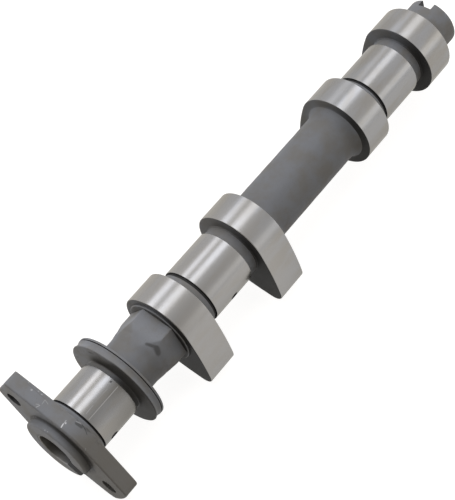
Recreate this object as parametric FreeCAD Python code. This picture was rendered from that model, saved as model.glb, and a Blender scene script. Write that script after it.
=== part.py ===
"""Camshaft of a two-cylinder, four-valve overhead-cam engine, cast and ground in one piece.

The shaft lies along X: x = 0 is the seat of the sprocket flange and the slotted end is at +X.
Angles are in degrees in the YZ plane, from +Y towards +Z. Lengths are in millimetres.
"""
import FreeCAD
import Part
import math
import os

X_AXIS = FreeCAD.Vector(1, 0, 0)

# Angular layout
near_nose_angle = 220.9      # lobes 1 and 2, as the shaft lies at rest
cylinder_phase = 90.0        # lobes 3 and 4: half of a 180-degree crank throw
ear_lead = 8.0               # the ears stand this far before the near noses
oil_hole_lead = 27.0         # the journal oil holes, the same way
slot_lead = 140.0            # the drive slot in the far end, the same way

# Stations along the shaft
bearing_1_start = 9.6
bearing_1_width = 16.2
bearing_2_centre = 81.3
bore_spacing = 106.9         # from bearing 2 to bearing 3
bearing_width = 20.2
bearing_radius = 12.0
valve_spacing = 42.1         # from lobe to lobe over one bearing
lobe_width = 13.0

# Cast shaft between the ground places
shaft_radius = 10.8
front_shoulder_radius = 11.8  # before a bearing
rear_shoulder_radius = 11.35  # after a bearing
relief_width = 0.8
relief_depth = 0.7
flare_radius = 13.5          # cast root where the shaft meets a lobe
flare_length = 3.6

# Cam profile
base_radius = 15.9
cam_lift = 10.65
nose_radius = 4.5
flank_radius = 95.0
lobe_edge_break = 0.3

# Sprocket flange
flange_thickness = 6.2
flange_centre_radius = 16.8
flange_tip_reach = 28.5
ear_taper = 20.0
ear_corner_radius = 2.2
flange_front_edge = 0.5
flange_rear_edge = 1.2
bolt_circle_diameter = 44.4
bolt_core_diameter = 6.15    # core of an M7 thread
bolt_mouth_chamfer = 0.3
hub_radius = 12.1
hub_root_radius = 14.3       # the hub widens to this where it leaves the flange
hub_root_length = 2.2

# Pilot boss on the flange
boss_radius = 13.3
boss_height = 3.3
boss_rim_round = 0.9
nose_bore_radius = 7.2
nose_bore_depth = 14.0
drill_point_half_angle = 59.0
boss_notch_width = 6.4

# Thrust collar
collar_start = 27.9
collar_thickness = 4.1
collar_radius = 19.0
collar_groove_from_rear = 1.15
collar_groove_width = 0.5
collar_groove_depth = 1.1
collar_rim_hollow = 0.35
collar_edge_break = 0.15

# Wrench hexagon
hexagon_across_flats = 22.0
hexagon_across_corners = 25.4
hexagon_cone_start = 40.6
hexagon_cone_length = 5.8
hexagon_pad_length = 1.1

# Slotted stub
stub_radius = 10.65
stub_length = 11.05
stub_chamfer = 0.7
drive_slot_width = 5.8
drive_slot_depth = 3.3

# Oil ways
oil_hole_diameter = 3.0
oil_hole_offset_1 = 4.1      # journal 1: the hole is this far from the relief groove
gallery_diameter = 6.0
gallery_overrun = 3.0        # past the last oil hole


def direction(angle):
    """Unit vector across the shaft."""
    a = math.radians(angle)
    return FreeCAD.Vector(0, math.cos(a), math.sin(a))


def across(x, u, w, angle):
    """Point at station x, u along the given direction and w square to it."""
    return FreeCAD.Vector(x, 0, 0) + direction(angle) * u + direction(angle + 90) * w


def disc(x0, x1, radius):
    """Plain cylinder between two stations."""
    return Part.makeCylinder(radius, x1 - x0, FreeCAD.Vector(x0, 0, 0), X_AXIS)


def cone(x0, x1, radius0, radius1):
    """Cone frustum between two stations."""
    return Part.makeCone(radius0, radius1, x1 - x0, FreeCAD.Vector(x0, 0, 0), X_AXIS)


def prism(edges, length):
    """Closed outline in a plane across the shaft, drawn out along it."""
    wire = Part.Wire(Part.__sortEdges__(edges))
    return Part.Face(wire).extrude(X_AXIS * length)


def end_edges(solid, x):
    """Edges of a prism that lie in the plane at station x."""
    return [e for e in solid.Edges
            if abs(e.BoundBox.XMin - x) < 1e-5 and abs(e.BoundBox.XMax - x) < 1e-5]


def arc(x, angle, centre_u, centre_w, radius, start, end):
    """Arc in the plane at station x, its ends given in degrees from the direction."""
    points = []
    for t in (start, (start + end) / 2, end):
        a = math.radians(t)
        points.append(across(x, centre_u + radius * math.cos(a), centre_w + radius * math.sin(a), angle))
    return Part.Arc(*points).toShape()


def cam_lobe(x0, width, angle):
    """Base circle, two convex flanks and a nose arc, all tangent."""
    nose_centre = base_radius + cam_lift - nose_radius
    to_base = flank_radius - base_radius
    to_nose = flank_radius - nose_radius
    flank_u = (nose_centre ** 2 + to_base ** 2 - to_nose ** 2) / (2 * nose_centre)
    flank_w = -math.sqrt(to_base ** 2 - flank_u ** 2)
    at_base = math.degrees(math.atan2(-flank_w, -flank_u))
    at_nose = math.degrees(math.atan2(-flank_w, nose_centre - flank_u))
    edges = [
        arc(x0, angle, nose_centre, 0, nose_radius, -at_nose, at_nose),
        arc(x0, angle, flank_u, flank_w, flank_radius, at_nose, at_base),
        arc(x0, angle, 0, 0, base_radius, at_base, 360 - at_base),
        arc(x0, angle, flank_u, -flank_w, flank_radius, -at_base, -at_nose),
    ]
    lobe = prism(edges, width)
    return lobe.makeChamfer(lobe_edge_break, end_edges(lobe, x0) + end_edges(lobe, x0 + width))


def flange_plate(angle):
    """Centre disc with two tapered ears, their tips turned to one reach."""
    side = 90 - ear_taper
    inner = flange_centre_radius - ear_corner_radius
    outer = flange_tip_reach - ear_corner_radius
    corner = side - math.degrees(math.acos(inner / outer))
    corner_u = outer * math.cos(math.radians(corner))
    corner_w = outer * math.sin(math.radians(corner))
    normal_u = math.cos(math.radians(side))
    normal_w = math.sin(math.radians(side))
    big = (flange_centre_radius * normal_u, flange_centre_radius * normal_w)
    small = (corner_u + ear_corner_radius * normal_u, corner_w + ear_corner_radius * normal_w)
    edges = []
    for turn in (0, 180):
        here = angle + turn
        edges += [
            arc(0, here, 0, 0, flange_tip_reach, -corner, corner),
            arc(0, here, corner_u, corner_w, ear_corner_radius, corner, side),
            Part.makeLine(across(0, *small, here), across(0, *big, here)),
            arc(0, here, 0, 0, flange_centre_radius, side, 180 - side),
            Part.makeLine(across(0, -big[0], big[1], here), across(0, -small[0], small[1], here)),
            arc(0, here, -corner_u, corner_w, ear_corner_radius, 180 - side, 180 - corner),
        ]
    plate = prism(edges, flange_thickness)
    plate = plate.makeChamfer(flange_front_edge, end_edges(plate, 0))
    return plate.makeFillet(flange_rear_edge, end_edges(plate, flange_thickness))


def pilot_boss():
    """Ring that centres the sprocket."""
    boss = disc(-boss_height, 1, boss_radius)
    return boss.makeFillet(boss_rim_round, end_edges(boss, -boss_height))


def thrust_collar():
    """Disc with a hollow rim and a narrow groove near its rear lip."""
    x0, x1 = collar_start, collar_start + collar_thickness
    collar = disc(x0, x1, collar_radius)
    collar = collar.makeChamfer(collar_edge_break, end_edges(collar, x0) + end_edges(collar, x1))
    groove = x1 - collar_groove_from_rear
    ring = disc(groove, groove + collar_groove_width, collar_radius + 1)
    collar = collar.cut(ring.cut(disc(groove, groove + collar_groove_width,
                                      collar_radius - collar_groove_depth)))
    land = 2 * collar_edge_break
    half = (groove - x0 - land) / 2
    hollow_radius = (half ** 2 + collar_rim_hollow ** 2) / (2 * collar_rim_hollow)
    centre = FreeCAD.Vector(x0 + land + half, 0, 0)
    hollow = Part.makeTorus(collar_radius + hollow_radius - collar_rim_hollow, hollow_radius, centre, X_AXIS)
    return collar.cut(hollow)


def wrench_hexagon(angle, lobe_face):
    """Hexagon whose corners run out of a cone, with a round pad against the lobe."""
    start = hexagon_cone_start
    pad = lobe_face - hexagon_pad_length
    corner = hexagon_across_corners / 2
    flat = hexagon_across_flats / 2
    round_bar = cone(start, start + hexagon_cone_length, shaft_radius, corner)
    round_bar = round_bar.fuse(disc(start + hexagon_cone_length, pad, corner))
    points = [across(start, flat / math.cos(math.radians(30)), 0, angle + 30 + 60 * k)
              for k in range(6)]
    sides = [Part.makeLine(points[k], points[(k + 1) % 6]) for k in range(6)]
    hexagon = prism(sides, pad - start).common(round_bar)
    return hexagon.fuse(disc(pad, lobe_face, flare_radius))


def bearing(x0, x1):
    """Ground journal with its relief groove in front."""
    core = disc(x0 - relief_width, x0, bearing_radius - relief_depth)
    return [core, disc(x0, x1, bearing_radius)]


def drilled(x, angle):
    """Oil hole from a journal's surface to the gallery."""
    return Part.makeCylinder(oil_hole_diameter / 2, bearing_radius + 1,
                             FreeCAD.Vector(x, 0, 0), direction(angle))


def camshaft():
    """The whole shaft, one solid."""
    ear_angle = near_nose_angle - ear_lead
    far_nose_angle = near_nose_angle + cylinder_phase
    pieces = [pilot_boss(), flange_plate(ear_angle)]
    # Bearing 1 and the collar
    bearing_1_end = bearing_1_start + bearing_1_width
    pieces.append(disc(0, bearing_1_start - relief_width, hub_radius))
    pieces.append(cone(flange_thickness, flange_thickness + hub_root_length, hub_root_radius, hub_radius))
    pieces += bearing(bearing_1_start, bearing_1_end)
    pieces.append(disc(bearing_1_end, collar_start, rear_shoulder_radius))
    pieces.append(thrust_collar())
    # Two cylinders, each with a bearing between two lobes
    lobe_ends = []
    oil_holes = [(bearing_1_start + oil_hole_offset_1, near_nose_angle - oil_hole_lead)]
    for count, nose in ((0, near_nose_angle), (1, far_nose_angle)):
        centre = bearing_2_centre + count * bore_spacing
        start, end = centre - bearing_width / 2, centre + bearing_width / 2
        front = centre - valve_spacing / 2 - lobe_width / 2
        rear = centre + valve_spacing / 2 - lobe_width / 2
        pieces.append(cam_lobe(front, lobe_width, nose))
        pieces.append(cam_lobe(rear, lobe_width, nose))
        pieces.append(disc(front + lobe_width, start - relief_width, front_shoulder_radius))
        pieces += bearing(start, end)
        pieces.append(disc(end, rear, rear_shoulder_radius))
        lobe_ends.append((front, rear + lobe_width))
        oil_holes.append((centre, nose - oil_hole_lead))
    # Cast shaft, its flares and the hexagon
    first_lobe, mid_start = lobe_ends[0]
    mid_end, stub_start = lobe_ends[1]
    pieces.append(disc(collar_start + collar_thickness, first_lobe, shaft_radius))
    pieces.append(wrench_hexagon(near_nose_angle, first_lobe))
    pieces.append(disc(mid_start, mid_end, shaft_radius))
    pieces.append(cone(mid_start, mid_start + flare_length, flare_radius, shaft_radius))
    pieces.append(cone(mid_end - flare_length, mid_end, shaft_radius, flare_radius))
    stub = disc(stub_start, stub_start + stub_length, stub_radius)
    pieces.append(stub.makeChamfer(stub_chamfer, end_edges(stub, stub_start + stub_length)))
    shaft = pieces[0].multiFuse(pieces[1:]).removeSplitter()
    # Nose bore with its drill point, and the gallery
    bore_front = -boss_height
    bore_end = bore_front + nose_bore_depth
    point_length = nose_bore_radius / math.tan(math.radians(drill_point_half_angle))
    gallery_end = oil_holes[-1][0] + oil_hole_diameter / 2 + gallery_overrun
    cuts = [
        disc(bore_front - 1, bore_end, nose_bore_radius),
        cone(bore_end, bore_end + point_length, nose_bore_radius, 0),
        disc(bore_end, gallery_end, gallery_diameter / 2),
    ]
    cuts += [drilled(x, angle) for x, angle in oil_holes]
    # Tapped holes in the ears and the notch in the boss
    for side in (-1, 1):
        place = across(-1, side * bolt_circle_diameter / 2, 0, ear_angle)
        cuts.append(Part.makeCylinder(bolt_core_diameter / 2, flange_thickness + 2, place, X_AXIS))
        mouth = across(-bolt_mouth_chamfer, side * bolt_circle_diameter / 2, 0, ear_angle)
        cuts.append(Part.makeCone(bolt_core_diameter / 2 + 2 * bolt_mouth_chamfer, bolt_core_diameter / 2,
                                  2 * bolt_mouth_chamfer, mouth, X_AXIS))
    cuts.append(cross_slot(-boss_height - 1, 0, boss_notch_width, 0, boss_radius + 1, ear_angle))
    # Drive slot right across the stub
    end = stub_start + stub_length
    cuts.append(cross_slot(end - drive_slot_depth, end + 1, drive_slot_width,
                           -stub_radius - 1, stub_radius + 1, near_nose_angle - slot_lead))
    return shaft.cut(cuts).Solids[0]


def cross_slot(x0, x1, width, u0, u1, angle):
    """Block between two stations, reaching from u0 to u1 along a direction."""
    corners = [across(x0, u, w, angle) for u, w in
               ((u0, -width / 2), (u1, -width / 2), (u1, width / 2), (u0, width / 2))]
    sides = [Part.makeLine(corners[k], corners[(k + 1) % 4]) for k in range(4)]
    return prism(sides, x1 - x0)


os.makedirs("parts", exist_ok=True)
shape = camshaft()
shape.exportStep("parts/camshaft.step")
box = shape.BoundBox
print("solids", len(shape.Solids), "valid", shape.isValid(), "volume mm3", round(shape.Volume))
print("x %.2f..%.2f y %.2f..%.2f z %.2f..%.2f" % (box.XMin, box.XMax, box.YMin, box.YMax, box.ZMin, box.ZMax))
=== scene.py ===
# %% [markdown]
# # A camshaft, dressed for its picture
#
# The real object is one casting of grey iron. It has a flange with two ears for the sprocket, a
# thin thrust collar, a wrench hexagon, four cam lobes and three bearings, and a slot in its far
# end. The CAD part gives the sizes. Here the same skin is made again with softer edges, real thread
# in the ears and a finish for each way of working the iron, so that it looks cast, turned and
# ground. The darker finishes on the lobes' sides, in the grooves and in the holes are painted
# shade.
# Where the picture and the CAD part differ by some tenths of a millimetre, the skin follows the
# picture.

# %% Load the frame
import bpy
import bmesh
import math
from mathutils import Matrix, Vector, noise


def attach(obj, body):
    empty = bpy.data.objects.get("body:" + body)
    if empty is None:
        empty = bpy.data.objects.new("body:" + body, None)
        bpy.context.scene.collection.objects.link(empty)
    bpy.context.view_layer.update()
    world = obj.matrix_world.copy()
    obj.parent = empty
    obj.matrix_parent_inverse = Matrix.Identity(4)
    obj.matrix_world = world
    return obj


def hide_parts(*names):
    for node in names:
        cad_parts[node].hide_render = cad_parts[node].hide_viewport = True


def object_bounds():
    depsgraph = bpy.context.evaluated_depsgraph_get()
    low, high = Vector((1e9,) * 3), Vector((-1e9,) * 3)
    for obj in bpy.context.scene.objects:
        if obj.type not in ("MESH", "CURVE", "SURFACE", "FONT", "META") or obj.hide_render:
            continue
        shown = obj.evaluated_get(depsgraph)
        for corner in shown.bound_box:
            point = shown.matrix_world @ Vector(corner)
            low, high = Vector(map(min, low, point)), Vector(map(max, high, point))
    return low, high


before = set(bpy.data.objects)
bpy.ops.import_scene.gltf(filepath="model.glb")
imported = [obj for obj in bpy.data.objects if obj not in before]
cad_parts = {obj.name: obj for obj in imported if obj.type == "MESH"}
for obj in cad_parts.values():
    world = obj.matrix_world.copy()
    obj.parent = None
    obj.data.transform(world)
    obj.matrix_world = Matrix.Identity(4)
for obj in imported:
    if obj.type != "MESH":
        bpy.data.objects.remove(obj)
cad_low, cad_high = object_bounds()
MM = 0.001
print("CAD box in mm", [round(v / MM, 2) for v in (*cad_low, *cad_high)])

# %% [markdown]
# ## The camera
#
# A camera is matched to a photograph by its place, its direction and its lens. These were found by
# laying known edges of the shaft, such as the rims of its lobes, over the same edges in the
# picture. The camera stands above the flange end and looks along and down the shaft, rolled a
# little.

# %% Camera
camera_place = Vector((-98.1, -218.5, 425.8)) * MM
camera_look = Vector((0.3726, 0.4256, -0.8246)).normalized()
camera_up = Vector((0.6968, 0.4585, 0.5515))

camera_data = bpy.data.cameras.new("camera")
camera_data.lens = 101.03
camera_data.sensor_width = 36.0
camera_data.clip_start = 0.01
camera_data.clip_end = 20.0
camera = bpy.data.objects.new("camera", camera_data)
bpy.context.scene.collection.objects.link(camera)
right = camera_look.cross(camera_up).normalized()
up = right.cross(camera_look)
turn = Matrix((right, up, -camera_look)).transposed()
camera.matrix_world = Matrix.Translation(camera_place) @ turn.to_4x4()
bpy.context.scene.camera = camera
print("camera stands", round(camera_place.length / MM), "mm from the flange")

# %% [markdown]
# ## Angles and radii
#
# Everything on a camshaft is set out from one axis. What gives it its timing is the angle of each
# nose round that axis, and the ears, the oil holes and the slot are drilled and milled at fixed
# angles from the noses. The radii are those of the bars, steps and discs, in millimetres. Each is
# named once here, because several rings share it.

# %% Angles and radii
NEAR_NOSE = math.radians(221.6)     # lobes 1 and 2
FAR_NOSE = math.radians(310.9)      # lobes 3 and 4
EARS = math.radians(212.9)          # the near ear; the far one lies opposite
HEXAGON = math.radians(218.0)
OIL_LEAD = math.radians(27.0)       # from a bearing's oil hole on to the nose
SLOT_ANGLE = math.radians(80.9)

GALLERY_R = 3.0
BORE_R = 7.2
BOSS_R = 13.3
DISC_R = 16.8
COLLAR_R = 19.0
NECK_R = 10.8
FRONT_R = 11.8                      # bar in front of a bearing
REAR_R = 11.35                      # bar behind a bearing
GROOVE_R = 11.3                     # relief groove for the grinding wheel
BEARING_R = 12.08
MIDDLE_R = 10.98
STUB_R = 10.7

BOSS_FRONT = -3.3
FLANGE_BACK = 6.2
print("noses at", *(round(math.degrees(nose), 1) for nose in (NEAR_NOSE, FAR_NOSE)), "degrees")

# %% [markdown]
# ## Outlines across the shaft
#
# Every slice across the shaft is a closed outline round the same axis: a circle, a cam, the flange
# with its ears or the hexagon. So the whole skin can be one tube of rings. All that a ring needs
# is how far out its outline lies at each angle, and for a rounded edge also how far it is drawn
# in. A cam is a base circle, two long flanks and a small nose, and each arc runs smoothly into the
# next.

# %% Circle and cam


def leave_circle(angle, centre_u, centre_w, radius):
    """Distance at which a ray from the axis leaves a circle."""
    along = centre_u * math.cos(angle) + centre_w * math.sin(angle)
    off = centre_u ** 2 + centre_w ** 2 - along ** 2
    return along + math.sqrt(max(radius ** 2 - off, 0))


def folded(angle, turn):
    """Angle brought into the half turn either side of zero, for a shape that repeats every turn."""
    return (angle + turn / 2) % turn - turn / 2


def circle(radius):
    return lambda angle, inset, x: radius - inset


def cam(nose_angle):
    """Base circle, two long flanks and a nose, all tangent."""
    base, lift, nose, flank = 15.9, 10.65, 4.5, 95.0
    centre = base + lift - nose
    u = (centre ** 2 + (flank - base) ** 2 - (flank - nose) ** 2) / (2 * centre)
    w = -math.sqrt((flank - base) ** 2 - u ** 2)
    at_base = math.atan2(-w, -u)
    at_nose = math.atan2(-w, centre - u)

    def outline(angle, inset, x):
        a = abs(folded(angle - nose_angle, 2 * math.pi))
        small = nose - inset
        if a >= at_base:
            return base - inset
        if a <= math.atan2(small * math.sin(at_nose), centre + small * math.cos(at_nose)):
            return leave_circle(a, centre, 0, small)
        return leave_circle(a, u, w, flank - inset)
    return outline


print("a cam reaches", round(cam(0)(0, 0, 0), 2), "mm")

# %% [markdown]
# ## The flange's outline
#
# The flange is a disc with two tapered ears. Each side of an ear is a straight line, given by its
# slope and its distance from the axis. The smaller of two distances cuts one shape by another, and
# a soft minimum rounds the corner between them. The near ear ends in an arc, and the far one is
# cut off flat and leans a little.

# %% Flange
# slope in degrees, distance from the axis and softness of the corner, by (near ear, under side)
EAR_SIDES = {
    (True, True): (70.5, 17.0, 3.0), (True, False): (69, DISC_R, 1.6),
    (False, True): (66, DISC_R, 1.4), (False, False): (70, DISC_R, 0.6),
}
NEAR_EAR_END = 28.7
FAR_EAR_END = 28.5
FAR_END_LEAN = 0.25
LEAN_HALF_ANGLE = 0.26
BLEND_TO_DISC = math.radians(18)


def ease(t):
    """0 below zero, 1 above one, smooth between."""
    t = min(max(t, 0.0), 1.0)
    return t * t * (3 - 2 * t)


def soft_min(p, q, soft):
    """The smaller of two lengths, blended where they are nearly equal."""
    h = max(soft - abs(p - q), 0.0) / soft
    return min(p, q) - h * h * soft / 4


def flange(angle, inset, x):
    """Centre disc with its two ears."""
    a = folded(angle - EARS, 2 * math.pi)
    near_ear = abs(a) < math.pi / 2
    if not near_ear:
        a = folded(a + math.pi, 2 * math.pi)
    under = (a > 0) == near_ear
    a = abs(a)
    slope, support, soft = EAR_SIDES[near_ear, under]
    slope = math.radians(slope)
    if a > slope:
        return DISC_R + (support - DISC_R) * (1 - ease((a - slope) / BLEND_TO_DISC)) - inset
    if near_ear:
        end = NEAR_EAR_END - inset
    else:
        lean = min(a / LEAN_HALF_ANGLE, 1.0) * (-FAR_END_LEAN if under else FAR_END_LEAN)
        end = (FAR_EAR_END + lean - inset) / math.cos(a)
    return soft_min(end, (support - inset) / math.cos(slope - a), soft)


print("the flange reaches", flange(EARS, 0, 0), "mm")

# %% [markdown]
# ## The hexagon's outline
#
# The wrench hexagon grows out of the round neck. Its corners are turned down to a radius that gets
# larger along the shaft, so each flat starts as a small facet and widens. One number, the share,
# says how much of the hexagon shows through the circle.

# %% Hexagon


def hexagon(limit, share=1.0):
    """Hexagon with soft cast corners, turned down to a radius."""
    flat, soft = 11.0, 0.3
    sixth = math.pi / 3

    def outline(angle, inset, x):
        a = abs(folded(angle - HEXAGON, sixth))
        if math.tan(a) * flat <= (flat - soft) * math.tan(sixth / 2):
            r = (flat - inset) / math.cos(a)
        else:
            r = leave_circle(sixth / 2 - a, (flat - soft) / math.cos(sixth / 2), 0, soft - inset)
        return (limit - inset) + share * min(r - limit + inset, 0)
    return outline


print("the hexagon measures", 2 * hexagon(13.0)(HEXAGON, 0, 0), "mm across its flats")

# %% [markdown]
# ## Rings, edges and fillets
#
# A turner would read the shaft from end to end as steps, edges and fillets, and the list of rings
# does the same. A sharp outer edge is broken by a few rings on a quarter circle, and a root gets a
# fillet the same way, so edges catch the light as real ones do. Each helper adds a few rings.

# %% Ring helpers
rings = []


def ring(x, outline, inset=0.0, finish="cast"):
    """One ring, and the finish of the skin between it and the ring before."""
    if not callable(outline):
        outline = circle(outline)
    rings.append((x, outline, inset, finish))


def quarter(steps):
    """Cosine and sine of even steps through a quarter turn."""
    return [(math.cos(math.pi / 2 * k / steps), math.sin(math.pi / 2 * k / steps))
            for k in range(steps + 1)]


def edge_out(x, outline, size, face, finish, steps=4):
    """Rounded edge from a face that looks to -X onto the outside."""
    for k, (c, s) in enumerate(quarter(steps)):
        ring(x + size * (1 - c), outline, size * (1 - s), finish if k else face)


def edge_in(x, outline, size, finish, steps=4):
    """Rounded edge from the outside onto a face that looks to +X."""
    for c, s in quarter(steps):
        ring(x - size * (1 - s), outline, size * (1 - c), finish)


def root_after(x, radius, size, finish="cast", steps=5):
    """Fillet from a face at x down onto a bar that runs on to +X."""
    for c, s in quarter(steps):
        ring(x + size * (1 - c), radius + size * (1 - s), 0, finish)


def root_before(x, radius, size, finish="cast", steps=5):
    """Fillet from a bar up onto a face at x."""
    for c, s in quarter(steps):
        ring(x - size * (1 - s), radius + size * (1 - c), 0, finish)


def bar(x0, x1, radius, every, finish="cast"):
    """Rings along a plain length, close enough to carry the unevenness of a casting."""
    count = max(1, round((x1 - x0) / every))
    for k in range(1, count):
        ring(x0 + (x1 - x0) * k / count, radius, 0, finish)


print("a quarter circle of 4 steps takes", len(quarter(4)), "rings")

# %% [markdown]
# ## Bearings, lobes and cylinders
#
# A bearing is ground between two breaks of its edge, behind a groove that lets the wheel run out.
# A lobe has cast sides, painted darker as shade, and a ground running face. Each cylinder has the
# same set, one bearing between two lobes, so one function makes both, with distances from the front
# of the first lobe.

# %% Bearing, lobe and cylinder
LOBE_WIDTH = 13.0
VALVE_SPACING = 42.1


def journal(x0, x1, wide=1.0):
    """Relief groove, ground bearing with its edges broken, and the small step down behind it."""
    # the relief groove takes the near-black groove finish, painted shade
    ring(x0 - 0.10 - wide, GROOVE_R, 0, "groove")
    ring(x0 - 0.10, GROOVE_R, 0, "groove")
    ring(x0, GROOVE_R + 0.10, 0, "groove")
    edge_out(x0, BEARING_R, 0.12, "groove", "ground", 3)
    bar(x0, x1, BEARING_R, 4.0, "ground")
    edge_in(x1, BEARING_R, 0.12, "ground", 3)
    ring(x1, REAR_R + 0.1)
    ring(x1 + 0.1, REAR_R)


def lobe(x0, nose_angle, front):
    """Cast sides, painted darker as shade, broken edges and a ground running face. The front edge
    may be left as cast.
    """
    outline = cam(nose_angle)
    x1 = x0 + LOBE_WIDTH
    # the sides take the darker side finish, which paints their shade
    ring(x0, outline, 1.2, "side")
    edge_out(x0, outline, 0.24, "side", front, 3)
    bar(x0, x1, outline, 4.0, "ground")
    edge_in(x1, outline, 0.22, "ground", 3)
    ring(x1, outline, 1.2, "side")


def cylinder(x, nose_angle, front):
    """Lobe, bearing and lobe, from the front of the first lobe on."""
    lobe(x, nose_angle, front)
    # both fillets beside the lobes take the darker side finish, painted shade in the corners
    root_after(x + LOBE_WIDTH, FRONT_R, 0.4, "side")
    ring(x + 16.25, FRONT_R)
    ring(x + 16.35, FRONT_R - 0.1)
    journal(x + 17.45, x + 37.65)
    ring(x + 41.55, REAR_R)
    root_before(x + VALVE_SPACING, REAR_R, 0.5, "side")
    lobe(x + VALVE_SPACING, nose_angle, front)


print("a cylinder takes", round(VALVE_SPACING + LOBE_WIDTH, 2), "mm of the shaft")

# %% [markdown]
# ## From the gallery to the collar
#
# The list starts deep inside the oil gallery, comes out of the nose bore and turns over the rim of
# the boss. Then come the flange, its fillet down to the hub, the first bearing and the thrust
# collar, whose rim is a little hollow and has a fine groove behind it.

# %% Flange end
# gallery and nose bore, from the inside out
# the gallery takes the dark turned finish, painted shade inside it
ring(192.7, GALLERY_R, 0, "turned")
ring(13.22, GALLERY_R, 0, "turned")
ring(10.7, BORE_R, 0, "bore")
ring(4.0, BORE_R, 0, "bore")
ring(-2.9, BORE_R, 0, "bore")
ring(-3.2, BORE_R + 0.1, 0, "bore")
ring(BOSS_FRONT, BORE_R + 0.35, 0, "bore")
# pilot boss, flange and the fillet behind it
edge_out(BOSS_FRONT, BOSS_R, 0.9, "cast", "cast", 5)
ring(-0.25, BOSS_R)
ring(0.0, BOSS_R + 0.15)
ring(0.0, 14.6)
edge_out(0.0, flange, 0.7, "cast", "cast", 6)
ring(2.6, flange)
edge_in(FLANGE_BACK, flange, 0.4, "cast", 4)
for x, r in ((FLANGE_BACK, 14.75), (6.33, 14.3), (6.7, 13.55), (7.2, 12.85), (7.75, 12.35),
             (8.1, 12.13), (8.3, 12.1), (8.36, 12.0)):
    ring(x, r)
# bearing 1 and the thrust collar
journal(9.1, 25.8, 0.62)
collar_front, rim_end, groove_end, collar_back = 27.9, 30.85, 31.2, 32.0
root_before(collar_front, REAR_R, 0.6)
edge_out(collar_front, COLLAR_R, 0.35, "cast", "cast", 4)
for k in range(1, 8):
    s = 2 * k / 8 - 1
    ring(28.25 + (rim_end - 28.40) * k / 8, COLLAR_R - 0.35 * (1 - s * s))
ring(rim_end - 0.06, COLLAR_R)
ring(rim_end, COLLAR_R - 0.06)
# the fine groove behind the rim takes the near-black groove finish, painted shade
ring(rim_end, COLLAR_R - 0.8, 0, "groove")
ring(groove_end, COLLAR_R - 0.8, 0, "groove")
ring(groove_end, COLLAR_R - 0.06, 0, "groove")
ring(groove_end + 0.06, COLLAR_R)
edge_in(collar_back, COLLAR_R, 0.15, "cast", 3)
root_after(collar_back, NECK_R, 1.0)
print(len(rings), "rings up to the collar")

# %% [markdown]
# ## The wrench hexagon
#
# A wrench holds the shaft here while the sprocket's bolts are turned. The hexagon fades in along a
# cone over 24 close rings, stays whole for a few millimetres and ends at the first lobe.

# %% Neck and hexagon
neck_end, cone_start, corner_r = 38.4, 43.2, 12.9
bar(33.0, neck_end, NECK_R, 1.2)
for k in range(24):
    x = neck_end + 0.4 * k
    neck = NECK_R + 0.5 * ease((x - neck_end) / 4.8)
    ring(x, hexagon(neck + 0.33 * max(0.0, x - cone_start), ease((x - 39.5) / 4.0)))
for x in (48.1, 49.3, 50.5, 51.7, 52.83):
    ring(x, hexagon(corner_r))
ring(52.95, hexagon(corner_r), 0.12)
# the steps up to the first lobe take the darker side finish, painted shade
ring(53.0, 13.1, 0, "side")
ring(53.3, 13.5)
ring(53.75, 13.5, 0, "side")
print(len(rings), "rings up to the first lobe")

# %% [markdown]
# ## Two cylinders, the shaft between them and the stub
#
# The middle of the shaft is left as cast. It widens in a flare where it runs into a lobe, so that
# the sand mould fills well and the iron does not crack. A tang in the slotted stub takes the drive
# to a pump or a sensor.

# %% Cylinders, middle shaft and stub
cylinder(53.75, NEAR_NOSE, "ground")
for x, r in ((108.85, 13.1), (109.1, 12.6), (109.8, 11.95), (110.8, 11.4), (112.0, 11.1),
             (113.4, MIDDLE_R)):
    ring(x, r)
bar(113.4, 156.1, MIDDLE_R, 1.4)
for x, r in ((156.1, MIDDLE_R), (157.5, 11.1), (158.7, 11.4), (159.7, 11.95), (160.4, 12.6)):
    ring(x, r)
# the flare's last step and the front edges of the far lobes take the darker side finish, painted
# shade
ring(160.65, 13.1, 0, "side")
cylinder(160.65, FAR_NOSE, "side")
root_after(215.75, 10.65, 0.6)
bar(216.35, 227.05, STUB_R, 1.4)
for x, r in ((227.05, STUB_R), (227.15, 10.66), (227.44, 10.37), (227.5, 10.25)):
    ring(x, r)
print(len(rings), "rings")

# %% [markdown]
# ## Spin the skin
#
# The first ring is a circle primitive with a flat cap. Each further ring is one extrude of the
# last ring's edges, and its points are then set out along their own rays to the new outline. The
# faces that an extrude leaves behind take the finish from the list. A cap closes the far end. A
# casting is never quite true, so the cast rings also wander by a few hundredths of a millimetre.

# %% Tube of rings
FINISHES = ["cast", "side", "ground", "turned", "groove", "bore"]
UNEVEN = 0.045
STEPS_ROUND = 300
materials = {name: bpy.data.materials.new("cam_" + name) for name in FINISHES}


def deselect():
    bpy.ops.object.select_all(action="DESELECT")


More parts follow.
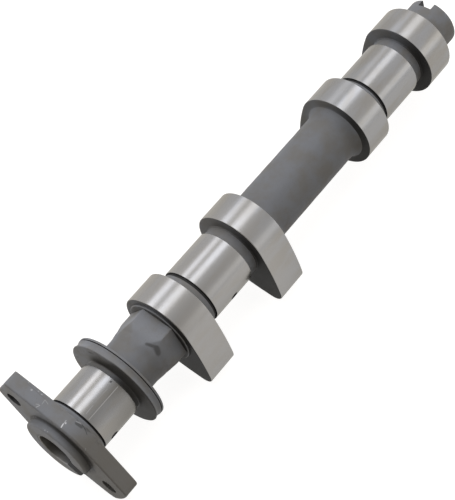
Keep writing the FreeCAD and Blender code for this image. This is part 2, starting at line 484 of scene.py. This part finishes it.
def tube(name, slices, steps, centre=(0.0, 0.0), wander=0.0):
    """Closed tube through a list of rings round an axis along X."""
    deselect()
    first_x, first_outline, first_inset, first_finish = slices[0]
    bpy.ops.mesh.primitive_circle_add(
        vertices=steps, radius=first_outline(0, first_inset, first_x) * MM, fill_type="NGON",
        location=(first_x * MM, centre[0] * MM, centre[1] * MM), rotation=(0, math.pi / 2, 0))
    made = bpy.context.active_object
    made.name = name
    bpy.ops.object.transform_apply(location=True, rotation=True, scale=True)
    for finish in FINISHES:
        made.data.materials.append(materials[finish])
    bpy.ops.object.mode_set(mode="EDIT")
    bpy.ops.mesh.select_mode(type="EDGE")
    bpy.ops.mesh.select_all(action="SELECT")
    edit = bmesh.from_edit_mesh(made.data)
    for face in edit.faces:
        face.select_set(False)
        face.material_index = FINISHES.index(first_finish)
    for e in edit.edges:
        e.select_set(True)
    faces_before = 1
    for x, outline, inset, finish in slices[1:]:
        bpy.ops.mesh.extrude_edges_indiv()
        edit = bmesh.from_edit_mesh(made.data)
        for v in edit.verts:
            if v.select:
                angle = math.atan2(v.co.z / MM - centre[1], v.co.y / MM - centre[0])
                r = outline(angle, inset, x)
                if wander and finish == "cast":
                    r += wander * noise.noise(Vector(
                        (x * 0.25, r * math.cos(angle) * 0.4, r * math.sin(angle) * 0.4)))
                v.co = Vector(
                    (x, centre[0] + r * math.cos(angle), centre[1] + r * math.sin(angle))) * MM
        edit.faces.ensure_lookup_table()
        for face in edit.faces[faces_before:]:
            face.material_index = FINISHES.index(finish)
        faces_before = len(edit.faces)
    bpy.ops.mesh.edge_face_add()
    bpy.ops.mesh.select_all(action="SELECT")
    bpy.ops.mesh.normals_make_consistent(inside=False)
    bpy.ops.object.mode_set(mode="OBJECT")
    return made


shaft = tube("camshaft_body", rings, STEPS_ROUND, wander=UNEVEN)
print("skin has", len(shaft.data.polygons), "faces")

# %% [markdown]
# ## Taps
#
# The ears are tapped for M7 bolts. A tap leaves a groove that climbs one pitch in each turn, so
# its radius is worked out from the place along it and the angle. The same tube function then makes
# a cutter in the shape of the whole thread. Its first ring is kept out of the flange's front face,
# because a cut is cleanest where no face of the cutter lies in a face of the piece.

# %% Taps


def tap(angle, reach=22.2, core=3.1, major=3.5, pitch=1.0):
    """Cutter for one tapped hole through an ear. The thread runs out just short of each mouth."""
    flat, plain_mouth, run_out_length = 0.25, 0.4, 0.8

    def thread(a, inset, x):
        phase = (x / pitch - a / (2 * math.pi)) % 1.0
        depth = max(0.0, (abs(2 * phase - 1) - flat) / (1 - flat))
        from_mouth = min(x, FLANGE_BACK - x) - plain_mouth
        run_out = min(max(from_mouth / run_out_length, 0.0), 1.0)
        return core + (major - core) * depth * run_out
    x = -0.64
    slices = [(x, circle(core), 0.0, "turned")]
    while x < 6.8:
        x += 0.1
        slices.append((x, thread, 0.0, "turned"))
    centre = (reach * math.cos(angle), reach * math.sin(angle))
    return tube("tap", slices, 40, centre)


cutters = [tap(EARS), tap(EARS + math.pi)]
print(len(cutters), "taps of", len(cutters[0].data.polygons), "faces")

# %% [markdown]
# ## Oil drills
#
# Oil reaches each bearing through a hole from the gallery. A drill is a cylinder, and two extrudes
# of its top face widen it where it leaves the bearing, so that the mouth is a little countersunk.

# %% Oil drills


def drill(x, angle, radius=1.5, sink=0.25):
    """Oil hole down to the gallery, its mouth a little countersunk."""
    start, mouth, end = 1.0, 11.8, 13.0
    half_way = (start + mouth) / 2
    deselect()
    bpy.ops.mesh.primitive_cylinder_add(
        vertices=32, radius=radius * MM, depth=(mouth - start) * MM,
        location=Vector((x, half_way * math.cos(angle), half_way * math.sin(angle))) * MM,
        rotation=(angle - math.pi / 2, 0, 0))
    made = bpy.context.active_object
    bpy.ops.object.transform_apply(location=True, rotation=True, scale=True)
    out = Vector((0, math.cos(angle), math.sin(angle)))
    bpy.ops.object.mode_set(mode="EDIT")
    bpy.ops.mesh.select_all(action="DESELECT")
    edit = bmesh.from_edit_mesh(made.data)
    for face in edit.faces:
        face.select_set(face.normal.dot(out) > 0.9)
    bmesh.update_edit_mesh(made.data)
    step = (end - mouth) / 2
    for wide in ((radius + 2 * sink) / radius, 1.4):
        bpy.ops.mesh.extrude_region_move(TRANSFORM_OT_translate={"value": out * step * MM})
        edit = bmesh.from_edit_mesh(made.data)
        top = [v for v in edit.verts if v.select]
        centre = sum((v.co for v in top), Vector()) / len(top)
        bpy.ops.transform.resize(value=(wide, wide, wide), center_override=centre)
    bpy.ops.object.mode_set(mode="OBJECT")
    return made


for x, nose_angle in ((13.7, NEAR_NOSE), (81.3, NEAR_NOSE), (188.2, FAR_NOSE)):
    cutters.append(drill(x, nose_angle - OIL_LEAD))
print(len(cutters), "cutters with the oil drills")

# %% [markdown]
# ## Milling cutters
#
# The notch through the wall of the boss and the slot in the far end are milled. A milling cutter
# is a block, and a bevel on the two edges of its floor leaves the small radius that a real one
# leaves.

# %% Milling cutters


def mill(x0, x1, width, u0, u1, angle, corner):
    """Block with two floor edges rounded, at x0 if the corner is above zero and else at x1."""
    half_way = (u0 + u1) / 2
    deselect()
    place = Vector(((x0 + x1) / 2, half_way * math.cos(angle), half_way * math.sin(angle)))
    bpy.ops.mesh.primitive_cube_add(
        size=1, location=place * MM, rotation=(angle, 0, 0),
        scale=Vector((x1 - x0, u1 - u0, width)) * MM)
    made = bpy.context.active_object
    bpy.ops.object.transform_apply(location=True, rotation=True, scale=True)
    along = Vector((0, math.cos(angle), math.sin(angle)))
    floor_x = (x0 if corner > 0 else x1) * MM
    bpy.ops.object.mode_set(mode="EDIT")
    bpy.ops.mesh.select_mode(type="EDGE")
    bpy.ops.mesh.select_all(action="DESELECT")
    edit = bmesh.from_edit_mesh(made.data)
    for e in edit.edges:
        a, b = (v.co for v in e.verts)
        lies_along = abs((b - a).normalized().dot(along)) > 0.99
        e.select_set(lies_along and abs(a.x - floor_x) < 1e-6)
    bmesh.update_edit_mesh(made.data)
    bpy.ops.mesh.bevel(offset=abs(corner) * MM, segments=3)
    bpy.ops.object.mode_set(mode="OBJECT")
    return made


notch = mill(-5.0, 0.04, 6.4, 0.0, 15.0, EARS, -0.2)
slot = mill(224.1, 229.6, 5.8, -13.0, 13.0, SLOT_ANGLE, 0.4)
cutters += [notch, slot]
print(len(cutters), "cutters with the notch and the slot")

# %% [markdown]
# ## Cut
#
# Holes and slots are cut from the finished casting, as in the shop. The cutters are joined into
# one object, and one Boolean takes them all away. The faces that they leave take the dark turned
# finish, which paints the shade inside the holes, and only the notch takes the cast finish of the
# boss round it. Faces are then shaded smooth up to an angle, and weighted normals keep the flats
# flat beside their rounded edges.

# %% Join the cutters and cut
deselect()
for cutter in cutters:
    if not cutter.data.materials:
        for finish in FINISHES:
            cutter.data.materials.append(materials[finish])
    for face in cutter.data.polygons:
        # cut faces take the dark turned finish, painted shade inside the holes; the notch takes the
        # cast one
        face.material_index = FINISHES.index("cast" if cutter is notch else "turned")
    cutter.select_set(True)
bpy.context.view_layer.objects.active = cutters[0]
bpy.ops.object.join()
tools = bpy.context.active_object
bpy.ops.object.mode_set(mode="EDIT")
bpy.ops.mesh.select_all(action="SELECT")
bpy.ops.mesh.normals_make_consistent(inside=False)
bpy.ops.object.mode_set(mode="OBJECT")

deselect()
shaft.select_set(True)
bpy.context.view_layer.objects.active = shaft
bpy.ops.object.modifier_add(type="BOOLEAN")
cut = shaft.modifiers[-1]
cut.operation = "DIFFERENCE"
cut.solver = "EXACT"
cut.object = tools
bpy.ops.object.modifier_apply(modifier=cut.name)
bpy.data.objects.remove(tools)
bpy.ops.object.shade_smooth_by_angle(angle=math.radians(32))
bpy.ops.object.modifier_add(type="WEIGHTED_NORMAL")
shaft.modifiers[-1].keep_sharp = True
bpy.ops.object.modifier_apply(modifier=shaft.modifiers[-1].name)
shaft.data.calc_loop_triangles()
print("cut skin has", len(shaft.data.loop_triangles), "triangles")
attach(shaft, "root")
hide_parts("camshaft")

# %% [markdown]
# ## Shader maths as plain sums
#
# A shader graph is easier to read as a sum on a page. This small class wraps a socket, and each
# operator on it adds the Math node it stands for. One method makes any other node.

# %% Sockets that add up


class Sock:
    """A value in a shader graph that can be written in a sum."""

    def __init__(self, tree, out):
        self.tree, self.out = tree, out

    def node(self, kind, settings=None, inputs=None, out=0):
        """Any node: its type, its settings, then the values or links of its sockets."""
        n = self.tree.nodes.new(kind)
        for key, value in (settings or {}).items():
            setattr(n, key, value)
        for key, value in (inputs or {}).items():
            if isinstance(value, Sock):
                self.tree.links.new(value.out, n.inputs[key])
            else:
                n.inputs[key].default_value = value
        return Sock(self.tree, n.outputs[out])

    def math(self, operation, *values):
        return self.node("ShaderNodeMath", {"operation": operation}, dict(enumerate(values)))

    def __add__(self, o): return self.math("ADD", self, o)
    __radd__ = __add__
    def __mul__(self, o): return self.math("MULTIPLY", self, o)
    __rmul__ = __mul__
    def __sub__(self, o): return self.math("SUBTRACT", self, o)
    def __rsub__(self, o): return self.math("SUBTRACT", o, self)
    def max(self, o): return self.math("MAXIMUM", self, o)
    def min(self, o): return self.math("MINIMUM", self, o)
    def sqrt(self): return self.math("SQRT", self)

    def ramp01(self, low, high):
        """0 at low, 1 at high, smooth between; low may be above high."""
        return self.node("ShaderNodeMapRange", {"interpolation_type": "SMOOTHSTEP"},
                         {"Value": self, "From Min": low, "From Max": high,
                          "To Min": 0.0, "To Max": 1.0})

    def mix(self, a, b):
        """Colour a where this is 0 and b where it is 1."""
        return self.node("ShaderNodeMix", {"data_type": "RGBA"}, {0: self, 6: a, 7: b}, out=2)

    def vector(self, operation, inputs, out=0):
        return self.node("ShaderNodeVectorMath", {"operation": operation}, inputs, out)


print("a socket knows", sum(callable(step) for step in vars(Sock).values()), "steps")

# %% [markdown]
# ## What every finish needs
#
# All finishes are grey iron, and they differ in tone, gloss and grain. Each starts from the place
# on the object in millimetres, so a pattern has its real size and stays put when the shaft is
# turned.

# %% Finish helpers


def grey(value, warm=0.0):
    """A grey that leans to brown above zero and to lilac below."""
    return (value * (1 + 0.5 * warm), value, value * (1 - 0.9 * warm), 1.0)


def start(name):
    """Material nodes: their tree, the place on the object in mm and its three parts."""
    materials[name].use_nodes = True
    tree = materials[name].node_tree
    seed = Sock(tree, None)
    place = seed.node("ShaderNodeTexCoord", out=3)
    mm = seed.vector("SCALE", {0: place, "Scale": 1 / MM})
    parts = tree.nodes.new("ShaderNodeSeparateXYZ")
    tree.links.new(mm.out, parts.inputs[0])
    x, y, z = (Sock(tree, parts.outputs[i]) for i in range(3))
    return tree, mm, x, y, z


def noise_at(place, scale, detail=2.0, stretch=(1, 1, 1), shift=(0, 0, 0)):
    """Noise from 0 to 1, scale in waves per mm."""
    moved = place.node("ShaderNodeMapping", None,
                       {"Vector": place, "Scale": stretch, "Location": shift})
    return place.node("ShaderNodeTexNoise", None,
                      {"Vector": moved, "Scale": scale, "Detail": detail, "Roughness": 0.55})


def plug(tree, **sockets):
    """Set the sockets of a material's shader, or link what varies over the surface to them."""
    shader = tree.nodes["Principled BSDF"]
    for key, value in sockets.items():
        socket = shader.inputs[key.replace("_", " ")]
        if isinstance(value, Sock):
            tree.links.new(value.out, socket)
        else:
            socket.default_value = value


def bumped(height, strength, distance):
    """Bump, its distance in mm."""
    return height.node("ShaderNodeBump", None,
                       {"Height": height, "Strength": strength, "Distance": distance * MM})


print("a mid grey", grey(0.175), "and a brown one", grey(0.175, 0.1))

# %% [markdown]
# ## Marks of use, and painted shade
#
# Handling has left a few nicks in the flange and some fine scratches on the first bearing. Some
# strokes are painted light and shade instead: a dent near the flange's back rim drawn as its lit
# edge and its shaded hollow, a dark line of painted shade where the boss wall turns into the notch,
# and painted shade on two facets of the hexagon. Each mark is a short stroke from one point of the
# skin to another. The shader measures how far every point lies from the stroke and paints it there,
# soft at its edge.

# %% Strokes


def stroke(mm, a, b, wide):
    """1 on the stroke from a to b and 0 beyond its width, all in mm."""
    a, b = Vector(a), Vector(b)
    run = b - a
    away = mm.vector("SUBTRACT", {0: mm, 1: a})
    along = away.vector("DOT_PRODUCT", {0: away, 1: run / max(run.length_squared, 1e-6)}, out=1)
    foot = away.node("ShaderNodeCombineXYZ", None,
                     {i: along.max(0.0).min(1.0) * run[i] for i in range(3)})
    gap = away.vector("DISTANCE", {0: away, 1: foot}, out=1)
    return gap.ramp01(wide, wide * 0.35)


# start, end, half width and grey of each mark; the last two paint the shade of two facets on the
# wrench hexagon
CAST_NICKS_AND_PAINTED_SHADE = [
    ((0.6, -4.2, 16.2), (1.9, -4.0, 16.35), 0.28, 0.58),
    ((2.2, -4.05, 16.3), (3.4, -3.95, 16.35), 0.22, 0.36),
    ((2.5, -4.5, 16.2), (2.7, -4.4, 16.2), 0.32, 0.50),
    ((4.3, 11.7, 19.9), (4.4, 11.6, 19.9), 0.44, 0.34),
    ((5.4, 9.6, 19.5), (5.5, 9.5, 19.4), 0.30, 0.28),
    ((5.2, 8.2, 19.1), (5.3, 7.9, 19.1), 0.30, 0.30),
    ((5.7, 14.2, 20.5), (5.7, 14.0, 20.5), 0.26, 0.26),
    ((5.2, 14.5, 20.6), (4.7, 6.0, 18.6), 0.20, 0.14),
    ((2.8, 5.8, 18.6), (4.5, 6.0, 18.6), 0.20, 0.25),
    ((4.5, 6.0, 18.6), (4.0, 4.3, 18.2), 0.18, 0.25),
    ((0.7, 6.6, 18.7), (1.9, 6.1, 18.6), 0.24, 0.30),
    ((1.5, 7.3, 18.9), (2.0, 6.5, 18.7), 0.20, 0.27),
    # the next four draw a dent by the flange's back rim: painted shade in its hollow and along one
    # edge, and a painted highlight on its other edge
    ((4.9, -7.0, 15.3), (5.1, -8.8, 14.3), 0.80, 0.085),
    ((5.3, -6.6, 15.4), (5.8, -8.0, 14.8), 0.22, 0.27),
    ((5.8, -8.6, 14.4), (5.3, -10.1, 13.4), 0.24, 0.060),
    ((5.3, -10.1, 13.4), (4.5, -11.3, 12.4), 0.18, 0.075),
    ((0.5, -13.4, 9.9), (0.9, -13.2, 10.3), 0.20, 0.25),
    ((-2.7, 1.4, 13.2), (-2.6, 1.2, 13.2), 0.26, 0.30),
    ((-2.6, 0.2, 13.3), (-2.6, 0.0, 13.3), 0.24, 0.28),
    ((0.0, 10.8, 7.8), (0.0, 8.6, 10.2), 0.24, 0.26),
    # painted shade: a dark line along the end of the boss wall, where it turns away into the notch
    ((-3.0, -12.6, -4.3), (0.1, -12.6, -4.3), 2.40, 0.020),
    # painted shade on two facets where the hexagon runs out into the neck
    ((43.2, -4.6, 10.4), (44.7, -7.7, 8.9), 0.80, 0.095),
    ((44.4, -7.9, 8.6), (43.8, -8.8, 7.2), 1.50, 0.085),
]
BEARING_MARKS = [
    ((9.6, -6.85, 9.85), (24.9, -6.85, 9.85), 0.20, 0.52),
    ((10.7, -5.1, 10.9), (14.4, -5.0, 10.9), 0.16, 0.42),
    ((15.8, -4.7, 11.0), (21.8, -5.0, 10.9), 0.15, 0.42),
    ((12.0, -6.3, 10.2), (19.5, -6.1, 10.3), 0.14, 0.26),
    ((24.5, -4.2, 11.2), (24.6, -4.3, 11.2), 0.55, 0.10),
]
print(len(CAST_NICKS_AND_PAINTED_SHADE) + len(BEARING_MARKS), "marks")

# %% [markdown]
# ## Stains, painted shade and painted light
#
# Old oil has left dark blotches behind the flange's rim, and the cast skin differs a little in tone
# from place to place. Painted shade darkens the root of the boss, the upper side of the bore's
# mouth, the front of the collar and the step in front of it, the lower side of the neck and the low
# ear, most of all its front face, and painted light brightens the upper side of the collar. The
# sides of the lobes are painted darker on the near side as shade, the near ear's hole is painted
# lighter at its mouth as light reaching into it, and the bore is painted brown and dark further in
# and on its upper side as shade. Each mask is made from ramps along the shaft, across it or
# outwards.

# %% Stains and painted shade
# grey of the oil stains and of the painted shade in corners and recesses
OIL_AND_SHADE_GREY = grey(0.030, 0.15)


def oil_and_painted_shade(colour, mm, x, y, z):
    """Painted shade round the foot of the boss, at the bore's mouth, in front of the collar and in
    the step before it, with oil stains behind the flange's rim.
    """
    r = (y * y + z * z).sqrt()
    gap = ((r - 13.6) * (r - 13.6) + (x + 0.1) * (x + 0.1)).sqrt()
    near_side = y.ramp01(6.0, -9.0)
    # painted shade: the foot of the boss, darker on the near side
    foot = gap.ramp01(1.1, 0.2) * 0.75 + gap.ramp01(2.6, 0.4) * near_side * 0.55
    rim = x.ramp01(4.4, 6.3) * r.ramp01(15.9, 16.5) * r.ramp01(17.6, 16.9)
    rim = rim * noise_at(mm, 0.35, 2.0, shift=(3.1, 0, 0)).ramp01(0.46, 0.66) * 0.6
    # painted shade in front of the collar and in the step behind bearing 1, deeper low down
    collar = x.ramp01(27.2, 27.8) * x.ramp01(28.6, 28.1)
    reach = (r - y.ramp01(3.0, -8.0) * 7.0).ramp01(17.0, 12.0)
    collar = collar * reach * y.ramp01(11.0, 4.0) * 0.92
    relief = x.ramp01(25.7, 26.4) * r.ramp01(12.2, 11.8) * x.ramp01(29.0, 28.0)
    relief = relief * y.ramp01(-2.0, -7.5) * 0.85
    # painted shade on the upper side of the bore's mouth
    mouth = x.ramp01(-3.0, -3.25) * r.ramp01(8.9, 7.7) * y.ramp01(0.5, 5.0) * 0.6
    colour = tone_and_painted_light(low_ear_painted_shade(colour, x, y), x, y)
    return foot.max(rim).max(collar).max(relief).max(mouth).min(0.92).mix(colour, OIL_AND_SHADE_GREY)


def low_ear_painted_shade(colour, x, y):
    """Painted shade on the low ear, darker and browner, most of all on its front face."""
    low_ear = y.ramp01(-5.0, -17.0) * x.ramp01(9.0, 7.0)
    colour = (low_ear * 0.8).mix(colour, grey(0.143, 0.14))
    return (low_ear * x.ramp01(0.6, 0.0) * 0.58).mix(colour, grey(0.070, 0.14))


def tone_and_painted_light(colour, x, y):
    """Darker on the middle shaft and the neck, lighter on the hexagon, with painted shade on the
    neck's lower side and painted light on the collar's upper side.
    """
    hexagon_part = x.ramp01(43.0, 47.0) * x.ramp01(54.0, 52.9)
    neck = x.ramp01(31.0, 34.0) * x.ramp01(54.0, 52.9)
    middle = x.ramp01(107.0, 112.0) * x.ramp01(164.0, 160.0)
    tone = 1.0 - 0.15 * middle + 0.16 * hexagon_part - 0.06 * neck
    # painted shade on the neck's lower side
    tone = tone - 0.15 * neck * y.ramp01(-7.0, -10.5)
    # painted light on the collar's upper side
    tone = tone + 0.16 * x.ramp01(27.0, 27.6) * x.ramp01(32.5, 31.0) * y.ramp01(5.0, 11.0)
    return colour.vector("SCALE", {0: colour, "Scale": tone})


def painted_shade_below(colour, mm, x, y, z):
    """Sides of the lobes, painted darker on the near side as shade."""
    return (y.ramp01(2.0, -10.0) * 0.92).mix(colour, grey(0.020, 0.10))


def painted_light_at_mouth(colour, mm, x, y, z):
    """Holes and slots, painted a little lighter where the near ear's thread begins, as light
    reaching into its mouth.
    """
    return (x.ramp01(2.4, 0.6) * y.ramp01(0.0, -5.0)).mix(colour, grey(0.085, 0.10))


def painted_shade_in_bore(colour, mm, x, y, z):
    """Painted shade in the bore: lighter at the mouth, darker on its upper side, brown and dark
    further in.
    """
    colour = y.ramp01(1.0, 6.0).mix(colour, grey(0.16, 0.12))
    depth = (x + noise_at(mm, 0.25, 2.0) * 2.0 + y * 0.08).ramp01(-2.0, 2.8)
    return depth.mix(colour, grey(0.070, 0.18))


# the grey of the oil stains and of the painted shade
print("old oil is", OIL_AND_SHADE_GREY)

# %% [markdown]
# ## Cast, turned and drilled finishes, the darker ones painted shade
#
# Grey iron that has been blasted clean and given a thin dark coat. It is matt, a little lilac
# where it is even and a little brown in patches, with the fine grain of the sand mould. The same
# recipe with a darker base paints the shade on the lobes' sides, in the grooves and in the holes,
# and with a shinier base serves for the bore.

# %% Cast finishes


def cast_finish(name, light, patch, metal=0.1, gloss=0.25, rough=0.50, stains_and_painted_light=None, marks=()):
    """Even grey, patches of another grey, specks, then stains with painted light and shade, marks
    and grain.
    """
    tree, mm, x, y, z = start(name)
    patches = noise_at(mm, 0.12, 3.0)
    specks = noise_at(mm, 2.2, 2.0)
    tint = patches.ramp01(0.38, 0.66).mix(grey(light, -0.05), grey(light * patch, 0.08))
    colour = specks.ramp01(0.60, 0.78).mix(tint, grey(light * 0.80, 0.03))
    if stains_and_painted_light:
        colour = stains_and_painted_light(colour, mm, x, y, z)
    for a, b, wide, tone in marks:
        colour = stroke(mm, a, b, wide).mix(colour, grey(tone))
    grain = noise_at(mm, 3.2, 3.0) + noise_at(mm, 0.9, 2.0) * 0.8
    plug(tree, Base_Color=colour, Metallic=metal, Specular_IOR_Level=gloss,
         Roughness=rough + 0.14 * patches, Normal=bumped(grain, 0.5, 0.035))
    print(name, "takes", len(tree.nodes), "nodes")


cast_finish("cast", 0.175, 0.88, stains_and_painted_light=oil_and_painted_shade, marks=CAST_NICKS_AND_PAINTED_SHADE)
# lobes' sides and roots: a darker copy of the cast finish that paints their shade, more so on the
# near side
cast_finish("side", 0.112, 0.90, metal=0.3, gloss=0.2, stains_and_painted_light=painted_shade_below)
# holes and the gallery: nearly black, painted shade inside them, with painted light at the near
# ear's mouth
cast_finish("turned", 0.060, 0.85, stains_and_painted_light=painted_light_at_mouth)
# grooves: near black, painted shade in them
cast_finish("groove", 0.028, 0.90)
# the bore: its own machined grey, with painted shade on its upper side and further in
cast_finish("bore", 0.28, 0.85, metal=0.6, gloss=0.5, rough=0.35, stains_and_painted_light=painted_shade_in_bore)

# %% [markdown]
# ## Ground faces
#
# Bearings and lobes are ground bright. A grinding wheel leaves fine lines round the shaft. They
# spread each reflection along the shaft and keep it sharp across, which gives long even streaks.
# The first bearing is painted darker and browner on its near, lower side, painted shade in what it
# mirrors there, and the first cylinder's faces are a little cleaner than the rest.

# %% Ground faces
tree, mm, x, y, z = start("ground")
lines = noise_at(mm, 5.0, 3.0, stretch=(1.0, 0.05, 0.05))
bands = noise_at(mm, 0.5, 2.0, stretch=(1.0, 0.1, 0.1))
haze = noise_at(mm, 0.22, 3.0, stretch=(0.25, 1.0, 1.0))
colour = haze.ramp01(0.35, 0.68).mix(grey(0.31), grey(0.28, 0.08))
clean = x.ramp01(40.0, 50.0) * x.ramp01(112.0, 96.0)
colour = (clean * 0.45).mix(colour, grey(0.355, 0.05))
# painted shade: bearing 1 darker and browner on its near, lower side, where it mirrors shade
low_reflection_shade = y.ramp01(-6.5, -12.0) * (0.2 + 0.8 * x.ramp01(10.0, 24.0))
side_reflection_shade = x.ramp01(16.0, 25.0) * y.ramp01(-3.0, -6.5) * 0.5
painted_reflection_shade = x.ramp01(32.0, 28.0) * low_reflection_shade.max(side_reflection_shade)
colour = (painted_reflection_shade * 0.9).mix(colour, grey(0.20, 0.06))
for a, b, wide, tone in BEARING_MARKS:
    colour = stroke(mm, a, b, wide).mix(colour, grey(tone))
plug(tree, Base_Color=colour, Metallic=1.0, Specular_Tint=(0.78, 0.77, 0.74, 1.0),
     Roughness=0.20 + 0.05 * bands + 0.05 * haze, Normal=bumped(lines, 0.35, 0.004))
print("ground takes", len(tree.nodes), "nodes")

# %% [markdown]
# ## Lamps
#
# Two long strip lamps stand on the far side and above, and a weak one on the near side, all beside
# the shaft. A round bar mirrors each as one streak. In the picture the streaks fade or grow along
# the shaft, so each strip is made of a few lengths, and each length has its own brightness.

# %% Lamps
SHAFT_MIDDLE = Vector((0.11, 0, 0))


def strip(name, start_mm, end_mm, width, radiance, colour):
    """Long lamp between two points that faces the middle of the shaft."""
    a, b = Vector(start_mm) * MM, Vector(end_mm) * MM
    middle = (a + b) / 2
    along = (b - a).normalized()
    facing = SHAFT_MIDDLE - middle
    facing -= along * facing.dot(along)
    facing.normalize()
    side = facing.cross(along)
    lamp = bpy.data.lights.new(name, "AREA")
    lamp.shape = "RECTANGLE"
    lamp.size, lamp.size_y = width * MM, (b - a).length
    lamp.color = colour
    lamp.energy = radiance * math.pi * lamp.size * lamp.size_y
    made = bpy.data.objects.new(name, lamp)
    turn = Matrix((side, along, -facing)).transposed()
    made.matrix_world = Matrix.Translation(middle) @ turn.to_4x4()
    made.visible_camera = False
    bpy.context.scene.collection.objects.link(made)


# name, both ends and width in mm, colour, then start, end and radiance of each length
STRIPS = [
    ("streak_low", (20, 245, 335), (520, 222, 248), 115, (0.91, 0.95, 1.07),
     ((-0.34, 0.22, 2.5), (0.22, 0.28, 2.2), (0.28, 0.46, 1.6), (0.46, 0.60, 1.1),
      (0.60, 1.0, 0.48))),
    ("streak_high", (20, 20, 417), (520, 42, 332), 136, (0.93, 0.965, 1.06),
     ((-0.34, 0.20, 2.1), (0.20, 0.60, 1.6), (0.60, 1.0, 1.5))),
    ("streak_near", (190, -368, 122), (620, -290, 146), 125, (0.99, 0.98, 0.96),
     ((0.0, 0.27, 0.36), (0.27, 0.50, 0.68), (0.50, 1.0, 0.80))),
]
for name, a, b, width, colour, lengths in STRIPS:
    a, b = Vector(a), Vector(b)
    for part, (t0, t1, radiance) in enumerate(lengths):
        strip(f"{name}_{part + 1}", a.lerp(b, t0), a.lerp(b, t1), width, radiance, colour)
print(len(bpy.data.lights), "lamps in", len(STRIPS), "strips")

# %% [markdown]
# ## Sky and paper
#
# The rest of the light comes from a pale sky that is darker towards the camera's side, so that the
# faces that look that way keep their depth. The floor is white paper. It is painted white only for
# the camera and, less so, for what the metal mirrors, and it keeps the shaft's shadow.

# %% Sky and floor
world = bpy.data.worlds.new("sky")
bpy.context.scene.world = world
world.use_nodes = True
sky = world.node_tree
ray = Sock(sky, None).node("ShaderNodeTexCoord")
towards = ray.vector("DOT_PRODUCT", {0: ray, 1: (-0.50, -0.60, 0.62)}, out=1)
level = 0.97 - 0.75 * towards.ramp01(0.45, 1.0)
tone = level.ramp01(0.15, 0.85).mix((1.0, 0.93, 0.80, 1), (1.0, 0.99, 1.0, 1))
sky.links.new(tone.out, sky.nodes["Background"].inputs["Color"])
sky.links.new(level.out, sky.nodes["Background"].inputs["Strength"])

deselect()
bpy.ops.mesh.primitive_plane_add(size=8, location=(0.1, 0, cad_low.z))
floor = bpy.context.active_object
floor.name = "floor"
paper = bpy.data.materials.new("paper")
paper.use_nodes = True
light_path = paper.node_tree.nodes.new("ShaderNodeLightPath").outputs
by_camera, by_metal, by_glass = (Sock(paper.node_tree, light_path[kind]) for kind in
                                 ("Is Camera Ray", "Is Glossy Ray", "Is Transmission Ray"))
plug(paper.node_tree, Base_Color=(0.27, 0.25, 0.225, 1), Roughness=0.9, Emission_Color=(1, 1, 1, 1),
     Emission_Strength=(by_camera * 0.90).max(by_metal.max(by_glass) * 0.75))
floor.data.materials.append(paper)

bpy.context.scene.view_settings.view_transform = "Standard"
print("the floor lies at", round(cad_low.z / MM, 2), "mm")

# %% [markdown] ## Sizes
